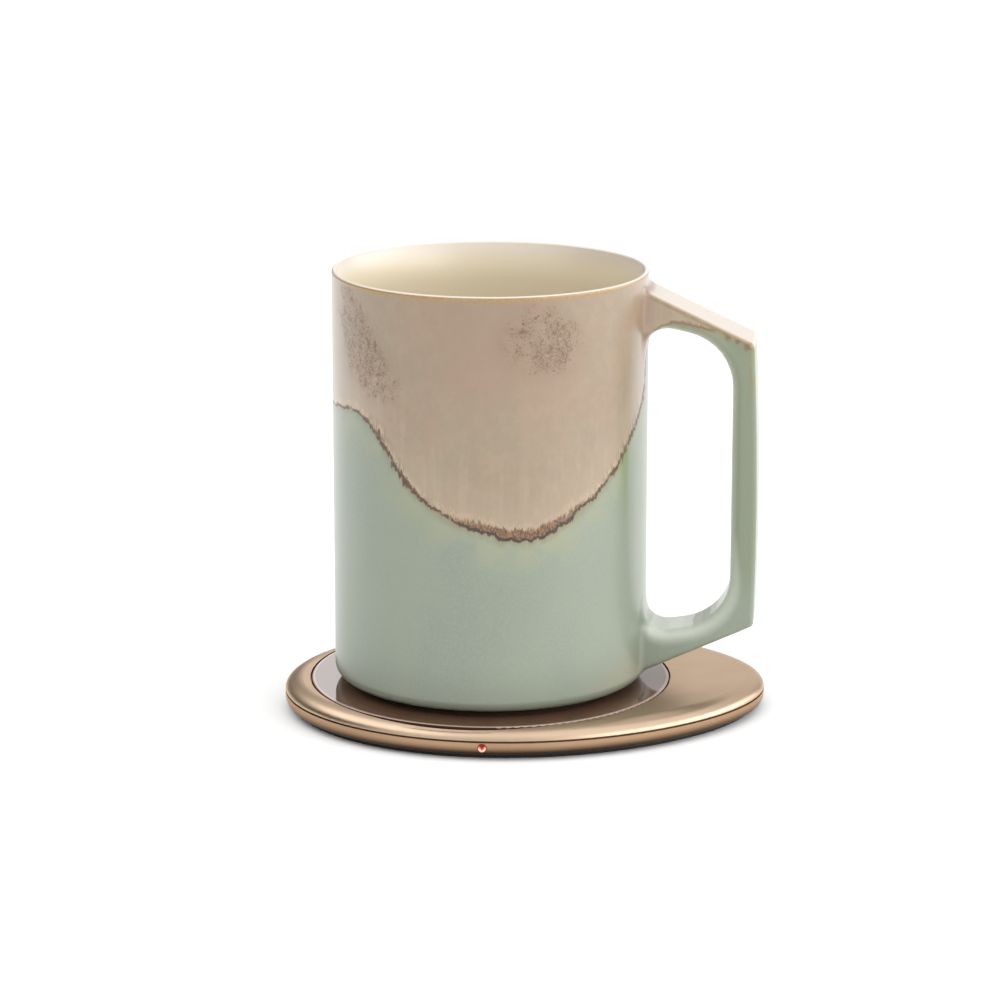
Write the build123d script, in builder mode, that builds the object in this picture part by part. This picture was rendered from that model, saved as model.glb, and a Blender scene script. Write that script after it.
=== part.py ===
from build123d import *
import os
from math import cos, hypot, pi, radians, sin, sqrt

# A self heating ceramic mug that stands on its wireless heating pad, in millimetres
# The origin is on the table, under the mug's axis; +X runs to the pad's narrow end and +Z is up

# Mug body
mug_radius = 40.0
mug_height = 105.2
mug_wall = 3.0
mug_floor = 6.0
mug_base_round = 3.0
mug_inner_round = 8.0
# The wall thins inside towards the rim, over this height
lip_thickness = 1.3
lip_thinning_height = 10.0
lip_round = 0.6
lip_thickness_share = 0.47
# The mug stands turned on the pad by this many degrees, so that its handle comes forward
mug_turn = -8.0
# The ceramic's underside is this far above the glass, carried by the silicone foot
foot_lift = 1.4

# Handle: it stands out from the mug's side, and its roots end short of the rim and the foot
handle_stand_off = 27.1
grip_foot_overhang = 0.8
grip_bow = 0.75
handle_width = 16.2
handle_rim_margin = 3.75
handle_foot_margin = 2.85
handle_slope_share = 0.4685
handle_edge_round = 1.2
handle_corner_round = 1.5

# The loop is what the grip and the two arms leave open
grip_thickness = 5.35
arm_root_thickness = 8.15
foot_arm_root_thickness = 9.7
arm_end_thickness = 3.1
loop_end_round = 14.0
loop_root_round = 6.3
loop_edge_round = 2.8
loop_end_width_share = 0.65
loop_root_width_share = 0.3

# Parts under the mug's floor
mug_foot_width = 7.0
mug_recess_depth = 1.6
heating_film_margin = 3.0
heating_film_thickness = 0.3
mica_margin = 1.0
mica_thickness = 0.3
base_cover_thickness = 1.5
base_cover_clearance = 0.1
foot_ring_width = 4.0
foot_ring_round = 0.3

# Pad outline: an egg round the glass, narrower towards +X, and at both ends, by shares of its width
pad_tip_margin = 24.65
pad_heel_margin = 6.75
pad_side_margin = 2.4
pad_narrowing_share = 0.08
pad_end_narrowing_share = 0.055
outline_points = 24

# Pad shells
base_pad_thickness = 1.0
base_pad_inset = 3.0
shell_floor = 0.8
lower_shell_height = 3.7
lower_wall = 1.6
belly_round = 2.6
groove_height = 0.5
groove_depth = 0.7
crown_run = 4.5
crown_steps = 5
upper_skirt = 2.2
upper_skin = 1.0

# Glass plate and its seat
glass_margin = 6.2
glass_gap = 0.35
glass_thickness = 1.3
glass_proud = 0.1
glass_edge_round = 0.4
adhesive_thickness = 0.2
adhesive_margin = 0.4
ledge_thickness = 0.7
ledge_width = 3.0
recess_wall = 1.0

# Coil, ferrite and carrier
wire_diameter = 1.2
coil_inner_radius = 9.0
coil_pitch = 1.75
coil_margin = 21.45
ferrite_thickness = 1.5
ferrite_margin = 0.4
carrier_floor = 1.4
carrier_rim = 1.1
carrier_fit = 0.15
lead_diameter = 0.8
lead_slot_width = 1.4
lead_landing = 2.6
lead_spread = 1.6
lead_bend = 0.7
lead_rim_gap = 1.4
spacer_inner_radius = 4.5
spacer_thickness = 0.6
spacer_clearance = 0.1
thermistor_post_radius = 3.0
thermistor_length = 2.0
thermistor_width = 1.2
thermistor_thickness = 0.5

# Board
insulation_thickness = 0.2
insulation_clearance = 0.4
board_lift = 0.8
board_thickness = 0.8
board_gap = 0.6
board_post_radius = 1.7
board_screw_angle = 45.0
board_screw_count = 4

# Parts on the board; angles are in degrees round the mug's axis
controller_size = 7.0
controller_height = 0.9
controller_angle = 292.0
supply_size = 4.0
supply_height = 0.8
supply_angle = 116.0
inductor_size = 7.0
inductor_height = 2.2
inductor_round = 0.8
inductor_angle = 65.0
mosfet_size = 3.3
mosfet_height = 0.8
mosfet_count = 4
mosfet_step_angle = 14.0
capacitor_length = 5.0
capacitor_width = 4.0
capacitor_height = 2.0
capacitor_count = 4
capacitor_angle = 180.0
capacitor_step_angle = 13.0
passive_length = 1.6
passive_width = 0.8
passive_height = 0.6
passive_count = 24
passive_inset = 2.0

# Screws, both kinds
screw_radius = 0.8
thread_gap = 0.03
shank_clearance = 0.15
head_clearance = 0.1
board_screw_length = 2.0
board_head_radius = 1.4
board_head_height = 0.7
housing_screw_length = 3.4
housing_head_radius = 1.5
housing_head_height = 0.5
housing_head_sink = 0.6
housing_boss_radius = 1.9
housing_seat_radius = 2.4
housing_seat_height = 0.8
housing_screw_angle = 30.0
tip_screw_inset = 12.0
hole_tip_gap = 0.3
drive_radius = 0.5
drive_depth = 0.3

# Power inlet of the standard C shape, at the back of the pad
usb_width = 8.94
usb_height = 3.26
usb_metal = 0.3
usb_depth = 7.5
usb_recess = 0.6
usb_floor_gap = 0.12
usb_clearance = 0.25
usb_tongue_width = 6.69
usb_tongue_thickness = 0.7
usb_tongue_setback = 1.0
usb_block_depth = 1.6
usb_tab_width = 1.2
usb_tab_length = 1.6
usb_tab_thickness = 0.3
board_ear_width = 2.78
board_ear_setback = 2.0

# Status lamp at the front of the pad
lamp_x = -3.5
lamp_rim_margin = 1.3
light_pipe_radius = 1.1
light_pipe_fit = 0.05
light_pipe_flange = 0.2
light_pipe_flange_length = 0.5
light_pipe_proud = 0.15
light_pipe_gap = 0.3
led_width = 1.6
led_depth = 1.2
led_height = 1.0
led_setback = 0.2

# Every cut runs past its face by this much
overrun = 1.0

# Heights above the table: the pad's stack, from its underside up to the glass
shell_bottom = base_pad_thickness
floor_top = shell_bottom + shell_floor
sheet_top = floor_top + insulation_thickness
board_bottom = floor_top + board_lift
board_top = board_bottom + board_thickness
ferrite_bottom = sheet_top + carrier_floor
ferrite_top = ferrite_bottom + ferrite_thickness
coil_axis_height = ferrite_top + wire_diameter / 2
coil_top = ferrite_top + wire_diameter
glass_bottom = coil_top + spacer_thickness + spacer_clearance
glass_top = glass_bottom + glass_thickness
ledge_top = glass_bottom - adhesive_thickness
ledge_bottom = ledge_top - ledge_thickness

# The shells close round that stack
pad_top = glass_top - glass_proud
cavity_top = pad_top - upper_skin
lower_rim = shell_bottom + lower_shell_height
upper_rim = lower_rim + groove_height
upper_shell_height = pad_top - upper_rim

# The mug's heights
ceramic_bottom = glass_top + foot_lift
recess_ceiling = ceramic_bottom + mug_recess_depth
film_bottom = recess_ceiling - heating_film_thickness
mica_bottom = film_bottom - mica_thickness
cover_bottom = mica_bottom - base_cover_thickness

# Radii under the mug
mug_recess_radius = mug_radius - mug_foot_width
heating_film_radius = mug_recess_radius - heating_film_margin
cover_radius = mug_recess_radius - base_cover_clearance

# Radii in the pad; the coil has as many turns as its place takes
glass_radius = mug_radius + glass_margin
recess_radius = glass_radius + glass_gap
ledge_radius = recess_radius - ledge_width
boss_circle = (recess_radius + ledge_radius) / 2
coil_turns = round((glass_radius - coil_margin - coil_inner_radius) / coil_pitch)
coil_outer_radius = coil_inner_radius + coil_turns * coil_pitch
ferrite_radius = coil_outer_radius + wire_diameter / 2 + ferrite_margin
carrier_inner_radius = ferrite_radius + carrier_fit
carrier_outer_radius = carrier_inner_radius + carrier_rim
board_inner_radius = carrier_outer_radius + board_gap
board_outer_radius = boss_circle - housing_boss_radius - board_gap
board_mid_radius = (board_inner_radius + board_outer_radius) / 2

# The egg's own measures
pad_half_length = glass_radius + (pad_tip_margin + pad_heel_margin) / 2
pad_half_width = glass_radius + pad_side_margin
pad_shift = (pad_tip_margin - pad_heel_margin) / 2
pad_tip = pad_shift + pad_half_length


def egg_points(inset):
    """Points round the pad's outline, moved square inwards by inset."""
    points = []
    for i in range(outline_points):
        turn = 2 * pi * i / outline_points
        narrowing = 1 - pad_narrowing_share * cos(turn) - pad_end_narrowing_share * cos(turn) ** 2
        widening = pad_narrowing_share + 2 * pad_end_narrowing_share * cos(turn)
        x = pad_half_length * cos(turn)
        y = pad_half_width * sin(turn) * narrowing
        run_x = -pad_half_length * sin(turn)
        run_y = pad_half_width * (cos(turn) * narrowing + widening * sin(turn) ** 2)
        run = hypot(run_x, run_y)
        points.append((pad_shift + x - inset * run_y / run, y + inset * run_x / run))
    return points


def egg(inset):
    """The pad's outline as one closed curve, moved square inwards by inset."""
    with BuildLine() as outline:
        Spline(*egg_points(inset), periodic=True)
    return outline.edges()


def outline_y(x):
    """Half the pad's width where it crosses this x."""
    share = (x - pad_shift) / pad_half_length
    narrowing = 1 - pad_narrowing_share * share - pad_end_narrowing_share * share * share
    return pad_half_width * sqrt(1 - share * share) * narrowing


def housing_screw_points():
    """Places of the housing screws: four under the glass ledge and one in the tip."""
    points = []
    for angle in (housing_screw_angle, 180 - housing_screw_angle):
        x = boss_circle * cos(radians(angle))
        y = boss_circle * sin(radians(angle))
        points += [(x, y), (x, -y)]
    points.append((pad_tip - tip_screw_inset, 0))
    return points


# Mug body: a turned wall with a rounded foot, a thinned lip and a recess under the floor
inner_radius = mug_radius - mug_wall
lip_radius = mug_radius - lip_thickness
rim_height = ceramic_bottom + mug_height
with BuildPart() as mug_body:
    with BuildSketch(Plane.XY.offset(ceramic_bottom)):
        Circle(mug_radius)
    extrude(amount=mug_height)
    fillet(mug_body.edges().group_by(Axis.Z)[0], mug_base_round)
    with BuildSketch(Plane.XY.offset(ceramic_bottom + mug_floor)):
        Circle(inner_radius)
    extrude(amount=mug_height - mug_floor, mode=Mode.SUBTRACT)
    inner_floor = mug_body.faces().filter_by(GeomType.PLANE).sort_by(Axis.Z)[1]
    fillet(inner_floor.edges(), mug_inner_round)
    with BuildSketch(Plane.XZ):
        with BuildLine():
            thinning = TangentArc(
                (inner_radius, rim_height - lip_thinning_height), (lip_radius, rim_height), tangent=(0, 1)
            )
            Polyline(thinning @ 1, (inner_radius, rim_height), thinning @ 0)
        make_face()
    revolve(axis=Axis.Z, mode=Mode.SUBTRACT)
    fillet(mug_body.edges().group_by(Axis.Z)[-1], min(lip_round, lip_thickness * lip_thickness_share))
    with BuildSketch(Plane.XY.offset(ceramic_bottom)):
        Circle(mug_recess_radius)
    extrude(amount=mug_recess_depth, mode=Mode.SUBTRACT)

# Handle: a flat-sided loop whose roots follow the mug's side, drawn about its own mid height
handle_root_height = mug_height - handle_rim_margin - handle_foot_margin
handle_mid = ceramic_bottom + handle_foot_margin + handle_root_height / 2
handle_reach = mug_radius + handle_stand_off
handle_end_height = handle_root_height - 2 * handle_slope_share * handle_stand_off
handle_plane = Plane(
    origin=(0, 0, handle_mid),
    x_dir=(cos(radians(mug_turn)), sin(radians(mug_turn)), 0),
    z_dir=(sin(radians(mug_turn)), -cos(radians(mug_turn)), 0),
)
inner_root_height = handle_root_height + 2 * handle_slope_share * mug_wall

side_root = sqrt(mug_radius**2 - (handle_width / 2) ** 2)
loop_reach = handle_reach - grip_thickness
loop_width = loop_reach - side_root
loop_root_top = handle_root_height / 2 - arm_root_thickness
loop_root_foot = foot_arm_root_thickness - handle_root_height / 2
loop_end_height = handle_end_height + 2 * (handle_slope_share * grip_thickness - arm_end_thickness)
loop_end_radius = min(loop_end_round, loop_width * loop_end_width_share)
loop_root_radius = min(loop_root_round, loop_width * loop_root_width_share)

with BuildPart() as mug_handle:
    with BuildSketch(handle_plane) as handle_outline:
        with BuildLine():
            arms = Polyline(
                (handle_reach + grip_foot_overhang, -handle_end_height / 2),
                (inner_radius, -inner_root_height / 2),
                (inner_radius, inner_root_height / 2),
                (handle_reach, handle_end_height / 2),
            )
            SagittaArc(arms @ 0, arms @ 1, -grip_bow)
        make_face()
        fillet(handle_outline.vertices().sort_by(Axis.X)[-2:], handle_corner_round)
    extrude(amount=handle_width / 2, both=True)
    with BuildSketch(handle_plane) as loop_outline:
        with BuildLine():
            Polyline(
                (side_root, loop_root_foot),
                (loop_reach, -loop_end_height / 2),
                (loop_reach, loop_end_height / 2),
                (side_root, loop_root_top),
                close=True,
            )
        make_face()
        fillet(loop_outline.vertices().sort_by(Axis.X)[-2:], loop_end_radius)
        fillet(loop_outline.vertices().sort_by(Axis.X)[:2], loop_root_radius)
    extrude(amount=handle_width / 2 + overrun, both=True, mode=Mode.SUBTRACT)
    loop_edges = []
    for side_face in mug_handle.faces().filter_by(handle_plane):
        loop_edges += side_face.inner_wires()[0].edges()
    fillet(loop_edges, loop_edge_round)
    rim_edges = []
    for side_face in mug_handle.faces().filter_by(handle_plane):
        for edge in side_face.outer_wire().edges():
            if hypot(edge.center().X, edge.center().Y) > mug_radius:
                rim_edges.append(edge)
    fillet(rim_edges, handle_edge_round)
    with BuildSketch(Plane.XY.offset(ceramic_bottom)):
        Circle(mug_radius)
    extrude(amount=mug_height, mode=Mode.SUBTRACT)

# Heating film, bonded to the ceiling of the recess
with BuildPart() as heating_film:
    with BuildSketch(Plane.XY.offset(film_bottom)):
        Circle(heating_film_radius)
    extrude(amount=heating_film_thickness)

# Mica disc below the film
with BuildPart() as mica_disc:
    with BuildSketch(Plane.XY.offset(mica_bottom)):
        Circle(heating_film_radius + mica_margin)
    extrude(amount=mica_thickness)

# Silicone cover that closes the recess, with the ring that the mug stands on
with BuildPart() as base_cover:
    with BuildSketch(Plane.XY.offset(cover_bottom)):
        Circle(cover_radius)
    extrude(amount=base_cover_thickness)
    with BuildSketch(Plane.XY.offset(glass_top)):
        Circle(cover_radius)
        Circle(cover_radius - foot_ring_width, mode=Mode.SUBTRACT)
    extrude(amount=cover_bottom - glass_top)
    fillet(base_cover.edges().group_by(Axis.Z)[0], foot_ring_round)

# The power inlet's place, and the notch that both shells and the gasket leave for it
usb_mouth = outline_y(0) - usb_recess
usb_axis_height = sheet_top + usb_floor_gap + usb_height / 2
usb_plane = Plane(origin=(0, usb_mouth, usb_axis_height), x_dir=(1, 0, 0), z_dir=(0, -1, 0))
with BuildPart() as usb_notch:
    with BuildSketch(usb_plane.offset(-usb_recess - overrun)):
        SlotOverall(usb_width + 2 * usb_clearance, usb_height + 2 * usb_clearance)
    extrude(amount=usb_depth + usb_recess + overrun)

# Upper shell: a crowned egg with a flat top, the glass seat and the screw bosses
with BuildPart() as upper_shell:
    for step in range(crown_steps + 1):
        rise = pi / 2 * step / crown_steps
        with BuildSketch(Plane.XY.offset(upper_rim + upper_shell_height * sin(rise))):
            make_face(egg(crown_run * (1 - cos(rise))))
    loft()
    with BuildSketch(Plane.XY.offset(upper_rim)):
        make_face(egg(upper_skirt))
    extrude(amount=cavity_top - upper_rim, mode=Mode.SUBTRACT)
    with BuildSketch(Plane.XY.offset(ledge_bottom)):
        Circle(recess_radius + recess_wall)
    extrude(amount=cavity_top - ledge_bottom)
    with BuildSketch(Plane.XY.offset(ledge_top)):
        Circle(recess_radius)
    extrude(amount=upper_shell_height, mode=Mode.SUBTRACT)
    with BuildSketch(Plane.XY.offset(ledge_bottom - overrun)):
        Circle(ledge_radius)
    extrude(amount=ledge_thickness + 2 * overrun, mode=Mode.SUBTRACT)
    boss_foot = shell_bottom + shell_floor + housing_seat_height
    with BuildSketch(Plane.XY.offset(boss_foot)):
        with Locations(*housing_screw_points()[:-1]):
            Circle(housing_boss_radius)
    extrude(amount=ledge_top - boss_foot)
    with BuildSketch(Plane.XY.offset(boss_foot)):
        with Locations(housing_screw_points()[-1]):
            Circle(housing_boss_radius)
    extrude(amount=cavity_top - boss_foot)
    with BuildSketch(Plane.XY.offset(boss_foot)):
        with Locations(*housing_screw_points()):
            Circle(screw_radius + thread_gap)
    head_seat = shell_bottom + housing_head_sink
    extrude(amount=head_seat + housing_screw_length + hole_tip_gap - boss_foot, mode=Mode.SUBTRACT)
    add(usb_notch.part, mode=Mode.SUBTRACT)

# Adhesive ring on the ledge
with BuildPart() as glass_adhesive_ring:
    with BuildSketch(Plane.XY.offset(ledge_top)):
        Circle(glass_radius - adhesive_margin)
        Circle(ledge_radius + adhesive_margin, mode=Mode.SUBTRACT)
    extrude(amount=adhesive_thickness)

# Glass plate with a softened top edge
with BuildPart() as glass_plate:
    with BuildSketch(Plane.XY.offset(glass_bottom)):
        Circle(glass_radius)
    extrude(amount=glass_thickness)
    fillet(glass_plate.edges().group_by(Axis.Z)[-1], glass_edge_round)

# Lower shell: a tray rounded under, with board posts and screw seats
with BuildPart() as lower_shell:
    with BuildSketch(Plane.XY.offset(shell_bottom)):
        make_face(egg(0))
    extrude(amount=lower_shell_height)
    fillet(lower_shell.edges().group_by(Axis.Z)[0], belly_round)
    with BuildSketch(Plane.XY.offset(floor_top)):
        make_face(egg(lower_wall))
    extrude(amount=lower_shell_height, mode=Mode.SUBTRACT)
    tray_floor = lower_shell.faces().filter_by(GeomType.PLANE).sort_by(Axis.Z)[1]
    fillet(tray_floor.outer_wire().edges(), belly_round - lower_wall)
    with BuildSketch(Plane.XY.offset(floor_top)):
        with PolarLocations(board_mid_radius, board_screw_count, start_angle=board_screw_angle):
            Circle(board_post_radius)
    extrude(amount=board_lift)
    with BuildSketch(Plane.XY.offset(floor_top)):
        with Locations(*housing_screw_points()):
            Circle(housing_seat_radius)
    extrude(amount=housing_seat_height)
    with BuildSketch(Plane.XY.offset(board_top - board_screw_length - hole_tip_gap)):
        with PolarLocations(board_mid_radius, board_screw_count, start_angle=board_screw_angle):
            Circle(screw_radius + thread_gap)
    extrude(amount=board_screw_length, mode=Mode.SUBTRACT)
    with BuildSketch(Plane.XY.offset(shell_bottom)):
        with Locations(*housing_screw_points()):
            Circle(screw_radius + shank_clearance)
    extrude(amount=shell_floor + housing_seat_height + overrun, mode=Mode.SUBTRACT)
    with BuildSketch(Plane.XY.offset(shell_bottom - overrun)):
        with Locations(*housing_screw_points()):
            Circle(housing_head_radius + head_clearance)
    extrude(amount=overrun + housing_head_sink, mode=Mode.SUBTRACT)
    add(usb_notch.part, mode=Mode.SUBTRACT)
    lamp_axis_height = lower_rim - lamp_rim_margin
    lamp_plane = Plane(origin=(lamp_x, 0, lamp_axis_height), x_dir=(1, 0, 0), z_dir=(0, -1, 0))
    with BuildSketch(lamp_plane.offset(board_outer_radius)):
        Circle(light_pipe_radius + light_pipe_fit)
    extrude(amount=pad_half_width, mode=Mode.SUBTRACT)

# Gasket in the groove between the shells
with BuildPart() as parting_gasket:
    with BuildSketch(Plane.XY.offset(lower_rim)):
        make_face(egg(groove_depth))
        make_face(egg(lower_wall), mode=Mode.SUBTRACT)
    extrude(amount=groove_height)
    add(usb_notch.part, mode=Mode.SUBTRACT)

# Light pipe in the front wall: a small domed rod with a flange inside the wall
lamp_wall = outline_y(lamp_x)
lamp_inner = lamp_wall - lower_wall - light_pipe_gap
board_front = sqrt(board_outer_radius**2 - lamp_x**2)
with BuildPart() as led_light_pipe:
    with BuildSketch(lamp_plane.offset(board_outer_radius + light_pipe_gap)):
        Circle(light_pipe_radius)
    extrude(amount=lamp_wall + light_pipe_proud - board_outer_radius - light_pipe_gap)
    fillet(led_light_pipe.edges().sort_by(Axis.Y)[0], light_pipe_proud)
    with BuildSketch(lamp_plane.offset(lamp_inner - light_pipe_flange_length)):
        Circle(light_pipe_radius + light_pipe_flange)
    extrude(amount=light_pipe_flange_length)

# Status lamp on the board's front edge
with BuildPart() as status_led:
    with BuildSketch(lamp_plane.offset(board_front - led_setback - led_depth)):
        with Locations((0, board_top + led_height / 2 - lamp_axis_height)):
            Rectangle(led_width, led_height)
    extrude(amount=led_depth)

# Insulating sheet on the tray's floor
with BuildPart() as insulating_sheet:
    with BuildSketch(Plane.XY.offset(floor_top)):
        Circle(board_outer_radius)
        with PolarLocations(board_mid_radius, board_screw_count, start_angle=board_screw_angle):
            Circle(board_post_radius + insulation_clearance, mode=Mode.SUBTRACT)
    extrude(amount=insulation_thickness)

# Coil carrier: a shallow dish with a slot in its rim for the coil's leads
with BuildPart() as coil_carrier:
    with BuildSketch(Plane.XY.offset(sheet_top)):
        Circle(carrier_outer_radius)
    extrude(amount=coil_top - sheet_top)
    with BuildSketch(Plane.XY.offset(ferrite_bottom)):
        Circle(carrier_inner_radius)
    extrude(amount=coil_top - ferrite_bottom, mode=Mode.SUBTRACT)
    with BuildSketch(Plane.XY.offset(ferrite_bottom)):
        with Locations((carrier_outer_radius, 0)):
            Rectangle(2 * (carrier_rim + overrun), 2 * (lead_spread + lead_slot_width))
    extrude(amount=coil_top - ferrite_bottom, mode=Mode.SUBTRACT)

# Ferrite disc, with a slot that the coil's inner lead runs out through
slot_reach = ferrite_radius - coil_inner_radius + lead_slot_width
with BuildPart() as ferrite_disc:
    with BuildSketch(Plane.XY.offset(ferrite_bottom)):
        Circle(ferrite_radius)
        with Locations((ferrite_radius, -lead_spread)):
            Rectangle(2 * slot_reach, lead_slot_width, mode=Mode.SUBTRACT)
    extrude(amount=ferrite_thickness)

# Coil: one unbroken flat spiral of half turns, each a half pitch wider than the last
with BuildPart() as coil_winding:
    with BuildLine(Plane.XY.offset(coil_axis_height)) as coil_path:
        for half_turn in range(2 * coil_turns):
            radius = coil_inner_radius + half_turn * coil_pitch / 2
            centre = (half_turn % 2) * coil_pitch / 2
            CenterArc((centre, 0), radius, start_angle=(half_turn % 2) * 180, arc_size=180)
    with BuildSketch(Plane(origin=(coil_inner_radius, 0, coil_axis_height), z_dir=(0, 1, 0))):
        Circle(wire_diameter / 2)
    sweep()


def least_coil_gap(steps=36):
    """Smallest gap between neighbouring turns, measured on points along the spiral."""
    turns = []
    for half_turn in range(2 * coil_turns):
        radius = coil_inner_radius + half_turn * coil_pitch / 2
        centre = (half_turn % 2) * coil_pitch / 2
        start = (half_turn % 2) * pi
        for step in range(steps):
            angle = start + pi * step / steps
            turns.append((centre + radius * cos(angle), radius * sin(angle)))
    gaps = []
    for i, (x, y) in enumerate(turns):
        for far_x, far_y in turns[i + steps:]:
            gaps.append(hypot(far_x - x, far_y - y) - wire_diameter)
    return min(gaps)


print("least gap between coil turns", round(least_coil_gap(), 3))

# Coil leads: thin pigtails that bend down from both ends of the coil to the board
lead_axis_height = max(board_top, ferrite_bottom) + lead_diameter / 2
lead_end = board_inner_radius + lead_landing
lead_drop = carrier_outer_radius + lead_rim_gap
with BuildPart() as coil_leads:
    with BuildLine():
        FilletPolyline(
            (coil_inner_radius, 0, coil_axis_height),
            (coil_inner_radius, -lead_spread, coil_axis_height),
            (coil_inner_radius, -lead_spread, lead_axis_height),
            (lead_end, -lead_spread, lead_axis_height),
            radius=lead_bend,
        )
    with BuildSketch(Plane(origin=(coil_inner_radius, 0, coil_axis_height), z_dir=(0, -1, 0))):
        Circle(lead_diameter / 2)
    sweep()
    with BuildLine():
        FilletPolyline(
            (coil_outer_radius, 0, coil_axis_height),
            (coil_outer_radius, lead_spread, coil_axis_height),
            (lead_drop, lead_spread, coil_axis_height),
            (lead_drop, lead_spread, lead_axis_height),
            (lead_end, lead_spread, lead_axis_height),
            radius=lead_bend,
        )
    with BuildSketch(Plane(origin=(coil_outer_radius, 0, coil_axis_height), z_dir=(0, 1, 0))):
        Circle(lead_diameter / 2)
    sweep()

# Soft spacer between the coil and the glass
with BuildPart() as coil_spacer:
    with BuildSketch(Plane.XY.offset(coil_top)):
        Circle(ferrite_radius)
        Circle(spacer_inner_radius, mode=Mode.SUBTRACT)
    extrude(amount=spacer_thickness)

# Thermistor and the soft post that holds it up to the glass, in the coil's middle
thermistor_bottom = glass_bottom - spacer_clearance - thermistor_thickness
with BuildPart() as thermistor_post:
    with BuildSketch(Plane.XY.offset(ferrite_top)):
        Circle(thermistor_post_radius)
    extrude(amount=thermistor_bottom - ferrite_top)

with BuildPart() as thermistor:
    with BuildSketch(Plane.XY.offset(thermistor_bottom)):
        Rectangle(thermistor_length, thermistor_width)
    extrude(amount=thermistor_thickness)

# Circuit board: a ring round the coil, with two ears that carry the power inlet
ear_length = usb_mouth - board_ear_setback - board_mid_radius
ears_width = usb_width + 2 * (usb_clearance + board_ear_width)
usb_back = usb_mouth - usb_depth
with BuildPart() as main_board:
    with BuildSketch(Plane.XY.offset(board_bottom)):
        Circle(board_outer_radius)
        with Locations((0, board_mid_radius)):
            Rectangle(ears_width, ear_length, align=(Align.CENTER, Align.MIN))
        Circle(board_inner_radius, mode=Mode.SUBTRACT)
        with Locations((0, usb_back - usb_clearance)):
            Rectangle(
                usb_width + 2 * usb_clearance,
                usb_depth + overrun,
                align=(Align.CENTER, Align.MIN),
                mode=Mode.SUBTRACT,
            )
        with PolarLocations(board_mid_radius, board_screw_count, start_angle=board_screw_angle):
            Circle(screw_radius + shank_clearance, mode=Mode.SUBTRACT)
    extrude(amount=board_thickness)

# Chips, coils and capacitors that stand on the board
with BuildPart() as controller_chip:
    with BuildSketch(Plane.XY.offset(board_top)):
        with PolarLocations(board_mid_radius, 1, start_angle=controller_angle):
            Rectangle(controller_size, controller_size)
    extrude(amount=controller_height)

with BuildPart() as supply_chip:
    with BuildSketch(Plane.XY.offset(board_top)):
        with PolarLocations(board_mid_radius, 1, start_angle=supply_angle):
            Rectangle(supply_size, supply_size)
    extrude(amount=supply_height)

with BuildPart() as power_inductor:
    with BuildSketch(Plane.XY.offset(board_top)):
        with PolarLocations(board_mid_radius, 1, start_angle=inductor_angle):
            RectangleRounded(inductor_size, inductor_size, inductor_round)
    extrude(amount=inductor_height)

mosfet_span = mosfet_step_angle * (mosfet_count - 1)
with BuildPart() as driver_mosfets:
    with BuildSketch(Plane.XY.offset(board_top)):
        for i in range(mosfet_count):
            angle = i * mosfet_step_angle - mosfet_span / 2
            with PolarLocations(board_outer_radius - mosfet_size, 1, start_angle=angle):
                Rectangle(mosfet_size, mosfet_size)
    extrude(amount=mosfet_height)

capacitor_span = capacitor_step_angle * (capacitor_count - 1)
with BuildPart() as resonant_capacitors:
    with BuildSketch(Plane.XY.offset(board_top)):
        for i in range(capacitor_count):
            angle = capacitor_angle + i * capacitor_step_angle - capacitor_span / 2
            with PolarLocations(board_mid_radius, 1, start_angle=angle):
                Rectangle(capacitor_width, capacitor_length)
    extrude(amount=capacitor_height)

with BuildPart() as chip_passives:
    with BuildSketch(Plane.XY.offset(board_top)):
        half_step = 180 / passive_count
        with PolarLocations(board_inner_radius + passive_inset, passive_count, start_angle=half_step):
            Rectangle(passive_width, passive_length)
    extrude(amount=passive_height)

# Power inlet: a metal shell with two tabs on the board, and its insulator with the tongue
with BuildPart() as usb_c_receptacle:
    with BuildSketch(usb_plane):
        SlotOverall(usb_width, usb_height)
        SlotOverall(usb_width - 2 * usb_metal, usb_height - 2 * usb_metal, mode=Mode.SUBTRACT)
    extrude(amount=usb_depth)
    tab_x = (usb_width - usb_metal + usb_tab_width) / 2
    with BuildSketch(Plane.XY.offset(board_top)):
        with Locations((tab_x, usb_mouth - usb_depth / 2), (-tab_x, usb_mouth - usb_depth / 2)):
            Rectangle(usb_tab_width, usb_tab_length)
    extrude(amount=usb_tab_thickness)

with BuildPart() as usb_c_insulator:
    with BuildSketch(usb_plane.offset(usb_depth - usb_block_depth)):
        SlotOverall(usb_width - 2 * usb_metal, usb_height - 2 * usb_metal)
    extrude(amount=usb_block_depth)
    with BuildSketch(usb_plane.offset(usb_tongue_setback)):
        Rectangle(usb_tongue_width, usb_tongue_thickness)
    extrude(amount=usb_depth - usb_block_depth - usb_tongue_setback)

# Screws that hold the board on its posts
with BuildPart() as board_screws:
    with BuildSketch(Plane.XY.offset(board_top - board_screw_length)):
        with PolarLocations(board_mid_radius, board_screw_count, start_angle=board_screw_angle):
            Circle(screw_radius)
    extrude(amount=board_screw_length)
    with BuildSketch(Plane.XY.offset(board_top)):
        with PolarLocations(board_mid_radius, board_screw_count, start_angle=board_screw_angle):
            Circle(board_head_radius)
    extrude(amount=board_head_height)
    with BuildSketch(Plane.XY.offset(board_top + board_head_height - drive_depth)):
        with PolarLocations(board_mid_radius, board_screw_count, start_angle=board_screw_angle):
            RegularPolygon(drive_radius, side_count=6)
    extrude(amount=drive_depth, mode=Mode.SUBTRACT)

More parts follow.
